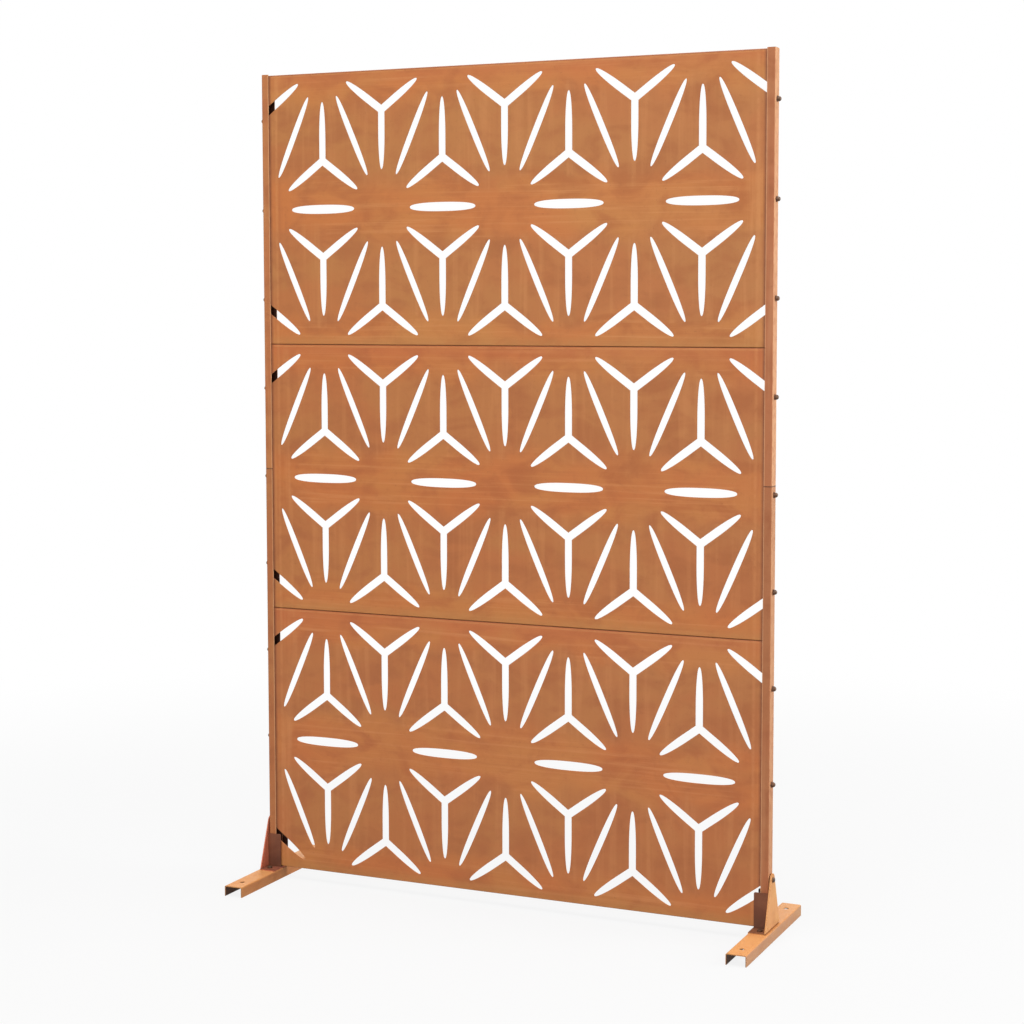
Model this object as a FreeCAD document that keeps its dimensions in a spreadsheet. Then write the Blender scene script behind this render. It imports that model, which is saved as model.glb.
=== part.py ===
"""Free-standing weathering-steel screen: three pierced tray panels stacked between two channel posts on feet.

Frame: +Z up, +X to the right and -Y to the front, with the origin on the floor at the middle of the screen.
All lengths are millimetres and all angles are degrees.
"""
import FreeCAD, Part
import math
import os

import Sketcher

Vector = FreeCAD.Vector
Rotation = FreeCAD.Rotation

# Driving dimensions, one cell each
SIZES = {
    # posts: two folded channels that open towards each other
    "post_span": 1176,
    "post_depth": 28,
    "post_flange": 17,
    "post_sheet": 1.5,
    "post_rise": 2,
    "splice_rise": 17.5,
    "splice_gap": 0.5,
    # inside radius that sets the outside of every bend
    "bend_inside": 1,
    # panels: trays with folded edges, standing one above the other inside the posts
    "panel_height": 590,
    "panel_sheet": 1.5,
    "panel_gap": 0.3,
    "panel_lift": 1.5,
    "panel_front_gap": 0.3,
    "panel_rear_gap": 1.7,
    # triangle lattice that carries the cut-outs: a row of nodes at mid-height and one past each end
    "lattice_side_margin": 3.9,
    "lattice_end_overlap": 20,
    # spindle cut-outs on the edges of the triangles, with the metal left between a tip and a node
    "level_slot_width": 19.4,
    "level_slot_land": 67.65,
    "steep_slot_width": 14.1,
    "steep_slot_land": 79.3,
    # three-armed cut-outs at the middles of the triangles, with the metal left between a tip and a node
    "upright_arm_width": 16,
    "upright_arm_land": 83,
    "side_arm_width": 16.8,
    "side_arm_side_land": 59.85,
    "side_arm_end_land": 42.1,
    # how far from its end a cut-out starts to taper to its blunt tip
    "tip_taper": 18,
    # metal left between a cut-off arm and the side fold
    "edge_land": 8,
    # feet: channels that open downwards
    "foot_length": 376,
    "foot_width": 43,
    "foot_height": 23,
    "foot_sheet": 2,
    "foot_overhang": 10.1,
    "anchor_spacing": 300,
    "anchor_hole": 11,
    # brackets: a gusset angle on each foot, with a channel shoe that takes the post
    "gusset_sheet": 2.5,
    "gusset_length": 98,
    "gusset_apex_radius": 13,
    "gusset_toe_inset": 1,
    "base_bolt_spacing": 66,
    "shoe_sheet": 2,
    "shoe_gap": 0.4,
    "shoe_height": 74.5,
    "shoe_reach": 30,
    "shoe_corner_radius": 3,
    "tongue_margin": 4,
    # fasteners
    "bolt_diameter": 6,
    "bolt_hole": 6.6,
    "hex_across_flats": 10,
    "hex_head_height": 4,
    "nut_height": 5,
    "nut_bore": 6.2,
    "thread_engagement": 4.5,
    "bolt_end_gap": 0.5,
    "washer_diameter": 12,
    "washer_thickness": 1.5,
    "dome_nut_height": 7,
    "dome_hex_height": 3.5,
    "dome_diameter": 9.4,
    "button_diameter": 11,
    "button_height": 4,
    # how far a cut runs past the metal
    "overrun": 5,
}

# Counts, and proportions that have no size of their own
BAYS = 4
PANEL_NAMES = ("panel_bottom", "panel_middle", "panel_top")
BOLTS_PER_PANEL = 3
HEX_SIDES = 6
# the fasteners are small and many, so a few flats stand for their rounds
SHANK_SIDES = 6
ROUND_SIDES = 8
# widths of the cut-outs where the taper starts and at the blunt tip, as shares of their own width
SLOT_SHOULDER_SHARE = 0.72
ARM_SHOULDER_SHARE = 0.66
NOSE_SHARE = 0.37
# how far the steep spindles lean, as a share of their lattice edge's own slope
STEEP_LEAN_SHARE = 0.945
# the place along an arm where its sides start to taper, as a share of the arm's length
ARM_BELLY_SHARE = 0.38
# heights and widths of a dome's rings, as shares of its own
DOME_RINGS = ((0, 1), (1, 0.55))
FIRST_CENTROID_SHARE = 1 / 3
SECOND_CENTROID_SHARE = 2 / 3
HALF_SHARE = 1 / 2
QUARTER_SHARE = 1 / 4

doc = FreeCAD.newDocument("screen")
sizes = doc.addObject("Spreadsheet::Sheet", "sizes")
for row, (alias, number) in enumerate(SIZES.items(), start=1):
    sizes.set(f"A{row}", alias)
    sizes.set(f"B{row}", str(number))
    sizes.setAlias(f"B{row}", alias)
doc.recompute()

# Lengths that follow from the driving ones, as expressions on the sheet
HALF_SPAN = "sizes.post_span / 2"
PANEL_WIDTH = "(sizes.post_span - 2 * sizes.post_sheet)"
PANEL_DEPTH = ("(sizes.post_depth - 2 * sizes.post_sheet"
               " - sizes.panel_front_gap - sizes.panel_rear_gap)")
PANEL_FRONT = "(sizes.post_sheet + sizes.panel_front_gap - sizes.post_depth / 2)"
PANEL_PITCH = "(sizes.panel_height + sizes.panel_gap)"
POST_BASE = "(sizes.foot_height + sizes.gusset_sheet)"
PANEL_BASE = f"({POST_BASE} + sizes.panel_lift)"
PANEL_BEND = "sizes.bend_inside + sizes.panel_sheet"
POST_BEND = "sizes.bend_inside + sizes.post_sheet"
FOOT_BEND = "sizes.bend_inside + sizes.foot_sheet"
SHOE_BEND = "sizes.bend_inside + sizes.shoe_sheet"
GUSSET_BEND = "sizes.bend_inside + sizes.gusset_sheet"
FOOT_CENTRE = "(sizes.post_span / 2 + sizes.foot_overhang - sizes.foot_width / 2)"
SHOE_BACK = "(sizes.post_span / 2 + sizes.shoe_gap + sizes.shoe_sheet)"
SHOE_DEPTH = "(sizes.shoe_sheet + sizes.shoe_gap + sizes.shoe_reach)"
GUSSET_FACE = f"({SHOE_BACK} + sizes.gusset_sheet)"
GUSSET_WIDTH = (f"({GUSSET_FACE} - {FOOT_CENTRE} + sizes.foot_width / 2"
                " - sizes.gusset_toe_inset)")
LATTICE_PITCH = f"(({PANEL_WIDTH} - 2 * sizes.lattice_side_margin) / {BAYS})"
LATTICE_RISE = "(sizes.panel_height / 2 + sizes.lattice_end_overlap)"
LEVEL_SLOT_LENGTH = f"({LATTICE_PITCH} - 2 * sizes.level_slot_land)"
STEEP_SLOT_LENGTH = f"(sqrt({LATTICE_PITCH} ^ 2 / 4 + {LATTICE_RISE} ^ 2) - 2 * sizes.steep_slot_land)"
STEEP_SLOT_LEAN = f"(atan({STEEP_LEAN_SHARE} * {LATTICE_PITCH} / 2 / {LATTICE_RISE}) / 1deg)"
UPRIGHT_ARM_LENGTH = f"({LATTICE_RISE} * {SECOND_CENTROID_SHARE} - sizes.upright_arm_land)"
SIDE_ARM_REACH = f"({LATTICE_PITCH} / 2 - sizes.side_arm_side_land)"
SIDE_ARM_DROP = f"({LATTICE_RISE} * {FIRST_CENTROID_SHARE} - sizes.side_arm_end_land)"
SIDE_ARM_LENGTH = f"sqrt({SIDE_ARM_REACH} ^ 2 + {SIDE_ARM_DROP} ^ 2)"
SIDE_ARM_SLOPE = f"(atan({SIDE_ARM_DROP} / {SIDE_ARM_REACH}) / 1deg)"
HEX_CORNER = f"sizes.hex_across_flats / 2 / cos(180deg / {HEX_SIDES})"


def measure(expression):
    """Return the number that an expression on the sheet stands for."""
    result = sizes.evalExpression(expression)
    return float(getattr(result, "Value", result))


def bolt_row_height(row):
    """Return the expression for the height of a bolt row above the floor, counted from the bottom."""
    panel, bolt = divmod(row, BOLTS_PER_PANEL)
    share = (bolt + HALF_SHARE) / BOLTS_PER_PANEL
    return f"({PANEL_BASE} + {panel} * {PANEL_PITCH} + {share} * sizes.panel_height)"


BOLT_ROWS = range(len(PANEL_NAMES) * BOLTS_PER_PANEL)
GUSSET_ROW = BOLT_ROWS[0]
MIDDLE_ROW = len(BOLT_ROWS) // 2
SPLICE_HEIGHT = f"({bolt_row_height(MIDDLE_ROW)} + sizes.splice_rise)"
POST_TOP = f"({PANEL_BASE} + {len(PANEL_NAMES)} * {PANEL_PITCH} - sizes.panel_gap + sizes.post_rise)"


# Sketches

def origin_feature(body, role):
    """Return the origin plane or axis of a body by its role."""
    return next(item for item in body.Origin.OriginFeatures if item.Role == role)


def direction(angle):
    """Return the unit vector at an angle in degrees."""
    return Vector(math.cos(math.radians(angle)), math.sin(math.radians(angle)))


def turned_point(across, up, angle, along, aside):
    """Return the two expressions for a point along and aside of an axis that leaves a place at an angle."""
    cosine, sine = f"cos({angle} * 1deg)", f"sin({angle} * 1deg)"
    return (f"({across} + ({along}) * {cosine} - ({aside}) * {sine})",
            f"({up} + ({along}) * {sine} + ({aside}) * {cosine})")


def located(point):
    """Return the place that two expressions stand for."""
    return Vector(*(measure(expression) for expression in point))


class Draft:
    """A sketch on one of a body's own origin planes, whose dimensions are tied to the sheet."""

    ORIGIN = (-1, 1)
    AXES = {"DistanceX": -2, "DistanceY": -1}

    def __init__(self, body, role, name, offset=None):
        self.sketch = body.newObject("Sketcher::SketchObject", name)
        self.sketch.AttachmentSupport = [(origin_feature(body, role), "")]
        self.sketch.MapMode = "FlatFace"
        if offset:
            self.sketch.setExpression("AttachmentOffset.Base.z", offset)
        self.constraints, self.expressions = [], {}

    def relate(self, kind, *places):
        """Note a constraint without a size."""
        self.constraints.append(Sketcher.Constraint(kind, *places))

    def bind(self, kind, places, expression):
        """Note a dimension that is tied to an expression."""
        self.expressions[len(self.constraints)] = expression
        self.relate(kind, *places, measure(expression))

    def fix(self, geometry, point, across, up):
        """Hold a point at two distances from the origin, where zero puts it on the axis."""
        for kind, expression in (("DistanceX", across), ("DistanceY", up)):
            if math.isclose(measure(expression), 0, abs_tol=1e-9):
                self.relate("PointOnObject", geometry, point, self.AXES[kind])
            else:
                self.bind(kind, (*self.ORIGIN, geometry, point), expression)

    def chain(self, lines, closed=True):
        """Join the lines end to start."""
        for line, following in zip(lines, lines[1:] + lines[:1] if closed else lines[1:]):
            self.relate("Coincident", line, 2, following, 1)

    def line(self, start, end):
        """Add a straight side and return its index."""
        return self.sketch.addGeometry(Part.LineSegment(start, end))

    def arc(self, centre, start, end):
        """Add the counter-clockwise arc about a centre between two points, and return its index."""
        angles = [math.atan2(point.y - centre.y, point.x - centre.x) for point in (start, end)]
        ring = Part.Circle(centre, Vector(0, 0, 1), (start - centre).Length)
        return self.sketch.addGeometry(Part.ArcOfCircle(ring, *angles))

    def circle(self, across, up, diameter, guide=False):
        """Add a circle, or a guide that cuts nothing, and return its index."""
        ring = Part.Circle(located((across, up)), Vector(0, 0, 1), measure(diameter) / 2)
        index = self.sketch.addGeometry(ring, guide)
        self.fix(index, 3, across, up)
        self.bind("Diameter", (index,), diameter)
        return index

    def polyline(self, points, closed=True):
        """Add straight sides through points given as expressions, and return the lines' indices."""
        places = [located(point) for point in points]
        ends = zip(places, places[1:] + places[:1] if closed else places[1:])
        lines = [self.line(start, end) for start, end in ends]
        self.chain(lines, closed)
        for line, point in zip(lines, points):
            self.fix(line, 1, *point)
        if not closed:
            self.fix(lines[-1], 2, *points[-1])
        return lines

    def rectangle(self, left, right, bottom, top):
        """Add a rectangle whose sides lie at four expressions."""
        corners = [located(point) for point in ((left, bottom), (right, bottom), (right, top), (left, top))]
        lines = [self.line(start, end) for start, end in zip(corners, corners[1:] + corners[:1])]
        self.chain(lines)
        for line, kind in zip(lines, ("Horizontal", "Vertical") * 2):
            self.relate(kind, line)
        self.fix(lines[0], 1, left, bottom)
        self.fix(lines[1], 2, right, top)

    def bolt_hole(self, across, up):
        """Add a fastener hole: even flats whose corners lie on the hole's circle."""
        ring = self.circle(across, up, "sizes.bolt_hole", guide=True)
        centre, radius = located((across, up)), measure("sizes.bolt_hole / 2")
        corners = [centre + direction(360 * side / SHANK_SIDES) * radius for side in range(SHANK_SIDES)]
        flats = [self.line(start, end) for start, end in zip(corners, corners[1:] + corners[:1])]
        self.chain(flats)
        for flat in flats:
            self.relate("PointOnObject", flat, 1, ring)
        for flat in flats[1:]:
            self.relate("Equal", flats[0], flat)
        self.relate("Horizontal", flats[0], 1, ring, 3)

    def finish(self):
        """Write the constraints and their expressions, and return the sketch."""
        self.sketch.addConstraint(self.constraints)
        for index, expression in self.expressions.items():
            self.sketch.setExpression(f"Constraints[{index}]", expression)
        return self.sketch


# Cut-outs of the panels

def blunt_tip(across, up, angle, length, width, shoulder_share):
    """Return the four points of a tip, from its right shoulder round its nose to its left shoulder."""
    inset = f"{length} - sizes.tip_taper"
    shoulder = f"{shoulder_share / 2} * {width}"
    nose = f"{NOSE_SHARE / 2} * {width}"
    corners = ((inset, f"-{shoulder}"), (length, f"-{nose}"), (length, nose), (inset, shoulder))
    return [turned_point(across, up, angle, along, aside) for along, aside in corners]


def spindle(draft, across, up, angle, length, width):
    """Draw a spindle: two long arcs between two blunt tips."""
    turns = (angle, f"({angle} + 180)")
    points = [blunt_tip(across, up, turn, f"{length} / 2", width, SLOT_SHOULDER_SHARE) for turn in turns]
    tips = [draft.polyline(tip, closed=False) for tip in points]
    run = f"({length} / 2 - sizes.tip_taper)"
    rise = f"({(1 - SLOT_SHOULDER_SHARE) / 2} * {width})"
    radius = f"({run} ^ 2 + {rise} ^ 2) / (2 * {rise})"
    for first, second in ((0, 1), (1, 0)):
        centre = located(turned_point(across, up, turns[first], "0", f"{width} / 2 - {radius}"))
        arc = draft.arc(centre, located(points[first][-1]), located(points[second][0]))
        draft.relate("Coincident", tips[first][-1], 2, arc, 1)
        draft.relate("Coincident", arc, 2, tips[second][0], 1)
        draft.bind("Radius", (arc,), radius)


class Arm:
    """One arm of a three-armed cut-out: level sides out to its belly, then a taper to a blunt tip."""

    def __init__(self, across, up, angle, length, width):
        self.place, self.angle = (across, up), angle
        self.half_width = f"{width} / 2"
        self.tip = blunt_tip(across, up, angle, length, width, ARM_SHOULDER_SHARE)
        self.belly = f"{ARM_BELLY_SHARE} * {length}"

    def outline(self):
        """Return the points from the right side of the belly round the tip to its left side."""
        right = turned_point(*self.place, self.angle, self.belly, f"-{self.half_width}")
        left = turned_point(*self.place, self.angle, self.belly, self.half_width)
        return [right, *self.tip, left]

    def crotch(self, following):
        """Return the point where this arm's left side meets the right side of the following arm."""
        own, other = f"({self.angle} * 1deg)", f"({following.angle} * 1deg)"
        spread = f"sin({other} - {own})"
        across, up = self.place
        return (f"({across} + ({self.half_width} * cos({other})"
                f" + {following.half_width} * cos({own})) / {spread})",
                f"({up} + ({self.half_width} * sin({other})"
                f" + {following.half_width} * sin({own})) / {spread})")

    def stop(self, end, side):
        """Return the point where one side, left (1) or right (-1), meets an upright line."""
        across, up = self.place
        turn = f"({self.angle} * 1deg)"
        return (end, f"({up} + ({side} * {self.half_width} + ({end} - {across}) * sin({turn})) / cos({turn}))")


def three_arms(draft, across, up, upright):
    """Draw a three-armed cut-out whose upright arm points up (1) or down (-1)."""
    arms = [Arm(across, up, f"{upright * 90}", UPRIGHT_ARM_LENGTH, "sizes.upright_arm_width")]
    for angle in (f"({-upright} * {SIDE_ARM_SLOPE})", f"(180 + {upright} * {SIDE_ARM_SLOPE})"):
        arms.append(Arm(across, up, angle, SIDE_ARM_LENGTH, "sizes.side_arm_width"))
    arms.sort(key=lambda arm: measure(arm.angle) % 360)
    points = []
    for arm, following in zip(arms, arms[1:] + arms[:1]):
        points += [*arm.outline(), arm.crotch(following)]
    draft.polyline(points)


def cut_off_arm(draft, across, up, angle, end):
    """Draw one side arm that stops at an upright line beside the panel's side fold."""
    arm = Arm(across, up, angle, SIDE_ARM_LENGTH, "sizes.side_arm_width")
    draft.polyline([*arm.outline(), arm.stop(end, 1), arm.stop(end, -1)])


# Feature helpers

def new_body(label):
    """Add an empty body under its label."""
    body = doc.addObject("PartDesign::Body", label)
    body.Label = label
    return body


def pad(body, draft, length, reverse=False, both_sides=False):
    """Add metal to a sketch by an expression, forwards, backwards or equally to both sides."""
    sketch = draft.finish()
    feature = body.newObject("PartDesign::Pad", f"{sketch.Name}_pad")
    feature.Profile = sketch
    feature.setExpression("Length", length)
    feature.Reversed = reverse
    feature.Midplane = both_sides
    doc.recompute()
    return feature


def cut(body, draft, both_sides=False):
    """Cut a sketch right through the body, and make sure that metal came away."""
    sketch = draft.finish()
    before = body.Shape.Volume
    feature = body.newObject("PartDesign::Pocket", f"{sketch.Name}_cut")
    feature.Profile = sketch
    feature.Type = "ThroughAll"
    feature.Midplane = both_sides
    doc.recompute()
    if not body.Shape.Volume < before:
        raise RuntimeError(f"{body.Label}: {sketch.Name} cut nothing")
    return feature


def repeat_across(body, feature, count, spacing):
    """Repeat a cut along X at even steps."""
    pattern = body.newObject("PartDesign::LinearPattern", f"{feature.Name}_row")
    pattern.Originals = [feature]
    pattern.Direction = (origin_feature(body, "X_Axis"), [""])
    pattern.Mode = "Spacing"
    pattern.setExpression("Offset", spacing)
    pattern.Occurrences = count
    body.Tip = pattern
    doc.recompute()
    return pattern


def round_edges(body, middles, radius):
    """Fillet the edges whose middles lie at the given points."""
    base = body.Tip
    names = []
    for middle in middles:
        edges = enumerate(base.Shape.Edges, start=1)
        number, _ = min(edges, key=lambda item: (item[1].BoundBox.Center - middle).Length)
        names.append(f"Edge{number}")
    fillet = body.newObject("PartDesign::Fillet", f"{base.Name}_bend")
    fillet.Base = (base, names)
    fillet.setExpression("Radius", radius)
    doc.recompute()
    return fillet


# Panels

def slot_sketches(body):
    """Cut the leaf lattice: level and steep spindles, three-armed cut-outs and the cut-off arms."""
    first_bay = f"({HALF_SHARE - BAYS / 2} * {LATTICE_PITCH})"
    first_node = f"({1 - BAYS / 2} * {LATTICE_PITCH})"

    level = Draft(body, "XZ_Plane", f"{body.Label}_level_slots")
    spindle(level, first_bay, "0", "0", LEVEL_SLOT_LENGTH, "sizes.level_slot_width")
    repeat_across(body, cut(body, level), BAYS, LATTICE_PITCH)

    bay = Draft(body, "XZ_Plane", f"{body.Label}_bay_slots")
    for half in (1, -1):
        for side in (1, -1):
            spindle(bay, f"({first_bay} + {side * QUARTER_SHARE} * {LATTICE_PITCH})",
                    f"({half * HALF_SHARE} * {LATTICE_RISE})",
                    f"(90 + {half * side} * {STEEP_SLOT_LEAN})",
                    STEEP_SLOT_LENGTH, "sizes.steep_slot_width")
        three_arms(bay, first_bay, f"({half * FIRST_CENTROID_SHARE} * {LATTICE_RISE})", half)
    repeat_across(body, cut(body, bay), BAYS, LATTICE_PITCH)

    node = Draft(body, "XZ_Plane", f"{body.Label}_node_slots")
    for half in (1, -1):
        three_arms(node, first_node, f"({half * SECOND_CENTROID_SHARE} * {LATTICE_RISE})", -half)
    repeat_across(body, cut(body, node), BAYS - 1, LATTICE_PITCH)

    edge = Draft(body, "XZ_Plane", f"{body.Label}_edge_slots")
    stop = f"({PANEL_WIDTH} / 2 - sizes.panel_sheet - sizes.edge_land)"
    for half in (1, -1):
        for side in (1, -1):
            slope = f"{half} * {SIDE_ARM_SLOPE}"
            cut_off_arm(edge, f"({side * BAYS / 2} * {LATTICE_PITCH})",
                        f"({half * SECOND_CENTROID_SHARE} * {LATTICE_RISE})",
                        f"(180 - {slope})" if side > 0 else f"({slope})",
                        f"{side} * {stop}")
    cut(body, edge)


def build_panel():
    """Build a pierced tray, with its front face at Y = 0 and its middle at Z = 0."""
    body = new_body("panel")
    half_width, half_height = f"{PANEL_WIDTH} / 2", "sizes.panel_height / 2"
    outline = Draft(body, "XZ_Plane", "panel_outline")
    outline.rectangle(f"-{half_width}", half_width, f"-{half_height}", half_height)
    pad(body, outline, PANEL_DEPTH, reverse=True)
    x, z = measure(half_width), measure(half_height)
    front = [Vector(x, 0, 0), Vector(-x, 0, 0), Vector(0, 0, z), Vector(0, 0, -z)]
    round_edges(body, front, PANEL_BEND)

    inside = Draft(body, "XZ_Plane", "panel_inside", "-sizes.panel_sheet")
    inside.rectangle(f"sizes.panel_sheet - {half_width}", f"{half_width} - sizes.panel_sheet",
                     f"sizes.panel_sheet - {half_height}", f"{half_height} - sizes.panel_sheet")
    cut(body, inside)
    slot_sketches(body)

    holes = Draft(body, "YZ_Plane", "panel_bolt_holes")
    for bolt in range(BOLTS_PER_PANEL):
        share = (bolt + HALF_SHARE) / BOLTS_PER_PANEL - HALF_SHARE
        holes.bolt_hole(f"-{PANEL_FRONT}", f"{share} * sizes.panel_height")
    cut(body, holes, both_sides=True)
    return body


# Posts

def build_post(label, bottom, top, rows):
    """Build a length of post, a channel with its outer face at X = 0, drilled at the given bolt rows."""
    body = new_body(label)
    half = "sizes.post_depth / 2"
    outline = Draft(body, "XY_Plane", f"{label}_outline")
    outline.rectangle("-sizes.post_flange", "0", f"-{half}", half)
    length = f"{top} - {bottom}"
    pad(body, outline, length)
    inside = Draft(body, "XY_Plane", f"{label}_inside")
    inside.rectangle("-sizes.post_flange - sizes.overrun", "-sizes.post_sheet",
                     f"sizes.post_sheet - {half}", f"{half} - sizes.post_sheet")
    cut(body, inside, both_sides=True)
    y, z = measure(half), measure(length) / 2
    round_edges(body, [Vector(0, y, z), Vector(0, -y, z)], POST_BEND)
    holes = Draft(body, "YZ_Plane", f"{label}_bolt_holes")
    for row in rows:
        holes.bolt_hole("0", f"{bolt_row_height(row)} - {bottom}")
    cut(body, holes, both_sides=True)
    return body


# Feet and brackets

def build_foot():
    """Build a foot, a channel that opens downwards, with anchor holes and bracket bolt holes."""
    body = new_body("foot")
    half = "sizes.foot_width / 2"
    outline = Draft(body, "XZ_Plane", "foot_outline")
    outline.rectangle(f"-{half}", half, "0", "sizes.foot_height")
    pad(body, outline, "sizes.foot_length", both_sides=True)
    inside = Draft(body, "XZ_Plane", "foot_inside")
    inside.rectangle(f"sizes.foot_sheet - {half}", f"{half} - sizes.foot_sheet",
                     "-sizes.overrun", "sizes.foot_height - sizes.foot_sheet")
    cut(body, inside, both_sides=True)
    x, z = measure(half), measure("sizes.foot_height")
    round_edges(body, [Vector(x, 0, z), Vector(-x, 0, z)], FOOT_BEND)
    holes = Draft(body, "XY_Plane", "foot_holes")
    for side in (1, -1):
        holes.circle("0", f"{side} * sizes.anchor_spacing / 2", "sizes.anchor_hole")
        holes.bolt_hole("0", f"{side} * sizes.base_bolt_spacing / 2")
    cut(body, holes, both_sides=True)
    return body


def build_gusset():
    """Build a gusset angle: a base on the foot and a tapering web with its outer face at X = 0."""
    body = new_body("gusset")
    half = "sizes.gusset_length / 2"
    apex_height = f"({bolt_row_height(GUSSET_ROW)} - sizes.foot_height)"
    web = Draft(body, "YZ_Plane", "gusset_web")
    corner, centre = Vector(measure(half), 0), Vector(0, measure(apex_height))
    radius = measure("sizes.gusset_apex_radius")
    turn = math.acos(radius / (centre - corner).Length) - math.atan2(centre.y, corner.x)
    touch = direction(math.degrees(turn)) * radius
    right, left = centre + touch, centre + Vector(-touch.x, touch.y)
    foot, right_side = web.line(-corner, corner), web.line(corner, right)
    apex, left_side = web.arc(centre, right, left), web.line(left, -corner)
    web.relate("Coincident", foot, 2, right_side, 1)
    web.relate("Coincident", left_side, 2, foot, 1)
    web.relate("Tangent", right_side, 2, apex, 1)
    web.relate("Tangent", apex, 2, left_side, 1)
    web.fix(foot, 1, f"-{half}", "0")
    web.fix(foot, 2, half, "0")
    web.fix(apex, 3, "0", apex_height)
    web.bind("Radius", (apex,), "sizes.gusset_apex_radius")
    pad(body, web, "sizes.gusset_sheet", reverse=True)
    base = Draft(body, "XY_Plane", "gusset_base")
    base.rectangle(f"-{GUSSET_WIDTH}", "0", f"-{half}", half)
    pad(body, base, "sizes.gusset_sheet")
    round_edges(body, [Vector(0, 0, 0)], GUSSET_BEND)
    web_hole = Draft(body, "YZ_Plane", "gusset_web_hole")
    web_hole.bolt_hole("0", apex_height)
    cut(body, web_hole, both_sides=True)
    base_holes = Draft(body, "XY_Plane", "gusset_base_holes")
    for side in (1, -1):
        base_holes.bolt_hole(f"{FOOT_CENTRE} - {GUSSET_FACE}", f"{side} * sizes.base_bolt_spacing / 2")
    cut(body, base_holes, both_sides=True)
    return body


def build_shoe():
    """Build a post shoe: a channel with a tongue that rises behind the gusset to the lowest bolt."""
    body = new_body("shoe")
    half_inside = "(sizes.post_depth / 2 + sizes.shoe_gap)"
    half = f"({half_inside} + sizes.shoe_sheet)"
    outline = Draft(body, "XY_Plane", "shoe_outline")
    outline.rectangle(f"-{SHOE_DEPTH}", "0", f"-{half}", half)
    pad(body, outline, "sizes.shoe_height")
    inside = Draft(body, "XY_Plane", "shoe_inside")
    inside.rectangle(f"-{SHOE_DEPTH} - sizes.overrun", "-sizes.shoe_sheet", f"-{half_inside}", half_inside)
    cut(body, inside, both_sides=True)
    y, z, sheet = measure(half), measure("sizes.shoe_height"), measure("sizes.shoe_sheet")
    round_edges(body, [Vector(0, y, z / 2), Vector(0, -y, z / 2)], SHOE_BEND)
    x, middle = -measure(SHOE_DEPTH), y - sheet / 2
    round_edges(body, [Vector(x, middle, z), Vector(x, -middle, z)], "sizes.shoe_corner_radius")

    bolt_height = f"({bolt_row_height(GUSSET_ROW)} - {POST_BASE})"
    half_tongue = "(sizes.gusset_apex_radius - sizes.tongue_margin)"
    tongue = Draft(body, "YZ_Plane", "shoe_tongue")
    tongue.rectangle(f"-{half_tongue}", half_tongue,
                     "sizes.shoe_height - sizes.overrun", f"{bolt_height} + {half_tongue}")
    pad(body, tongue, "sizes.shoe_sheet", reverse=True)
    hole = Draft(body, "YZ_Plane", "shoe_bolt_hole")
    hole.bolt_hole("0", bolt_height)
    cut(body, hole, both_sides=True)
    return body


# Nodes: each pattern is built once and repeated by links

UPWARDS = Rotation()
DOWNWARDS = Rotation(Vector(1, 0, 0), 180)
HALF_TURN = Rotation(Vector(0, 0, 1), 180)
TO_RIGHT = Rotation(Vector(0, 1, 0), 90)
TO_LEFT = Rotation(Vector(0, 1, 0), -90)


def repeat(label, pattern, seats):
    """Repeat a pattern at a list of seats, each three expressions and a rotation, as one node."""
    links = []
    for number, (x, y, z, turn) in enumerate(seats, start=1):
        link = doc.addObject("App::Link", f"{label}_{number}")
        link.LinkedObject = pattern
        link.Placement = FreeCAD.Placement(Vector(measure(x), measure(y), measure(z)), turn)
        for axis, expression in zip("xyz", (x, y, z)):
            link.setExpression(f"Placement.Base.{axis}", expression)
        links.append(link)
    node = doc.addObject("Part::Compound", label)
    node.Label = label
    node.Links = links
    return node


# Fasteners: each pattern stands along +Z with its seat at Z = 0

def primitive(kind, name, low="0", **properties):
    """Add a solid primitive with its sizes bound, standing on a height."""
    item = doc.addObject(kind, name)
    for key, expression in properties.items():
        item.setExpression(key, expression)
    item.setExpression("Placement.Base.z", low)
    return item


def prism(name, sides, corner_radius, height, low="0"):
    """Add an upright prism with even sides."""
    item = primitive("Part::Prism", name, low, Circumradius=corner_radius, Height=height)
    item.Polygon = sides
    return item


def dome(name, diameter, base, height):
    """Add a low dome of flats that rises, or with a minus sign falls, from a base."""
    rings = []
    for number, (height_share, width_share) in enumerate(DOME_RINGS, start=1):
        ring = primitive("Part::RegularPolygon", f"{name}_ring_{number}", f"{base} + {height_share} * {height}",
                         Circumradius=f"{width_share} * {diameter} / 2")
        ring.Polygon = ROUND_SIDES
        rings.append(ring)
    item = doc.addObject("Part::Loft", name)
    item.Sections = rings
    item.Solid = item.Ruled = True
    return item


def combine(kind, name, base, tool):
    """Join two solids, or cut the second from the first."""
    item = doc.addObject(kind, name)
    item.Base, item.Tool = base, tool
    item.Refine = True
    return item


def with_shank(name, head, length):
    """Join a head to a shank that rises from the seat."""
    shank = prism(f"{name}_shank", SHANK_SIDES, "sizes.bolt_diameter / 2", length)
    return combine("Part::Fuse", name, head, shank)


def with_bore(name, solid, diameter, depth):
    """Cut a bore upwards from the seat."""
    bore = prism(f"{name}_bore", SHANK_SIDES, f"{diameter} / 2", f"{depth} + sizes.overrun", "-sizes.overrun")
    return combine("Part::Cut", name, solid, bore)


def hex_bolt(name, length):
    """Make a bolt with its hexagon head under the seat and its shank above it."""
    head = prism(f"{name}_head", HEX_SIDES, HEX_CORNER, "sizes.hex_head_height", "-sizes.hex_head_height")
    return with_shank(name, head, length)


def button_bolt(name, length):
    """Make a bolt with a low domed head under the seat and its shank above it."""
    head = dome(f"{name}_head", "sizes.button_diameter", "0", "-sizes.button_height")
    return with_shank(name, head, length)


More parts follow.
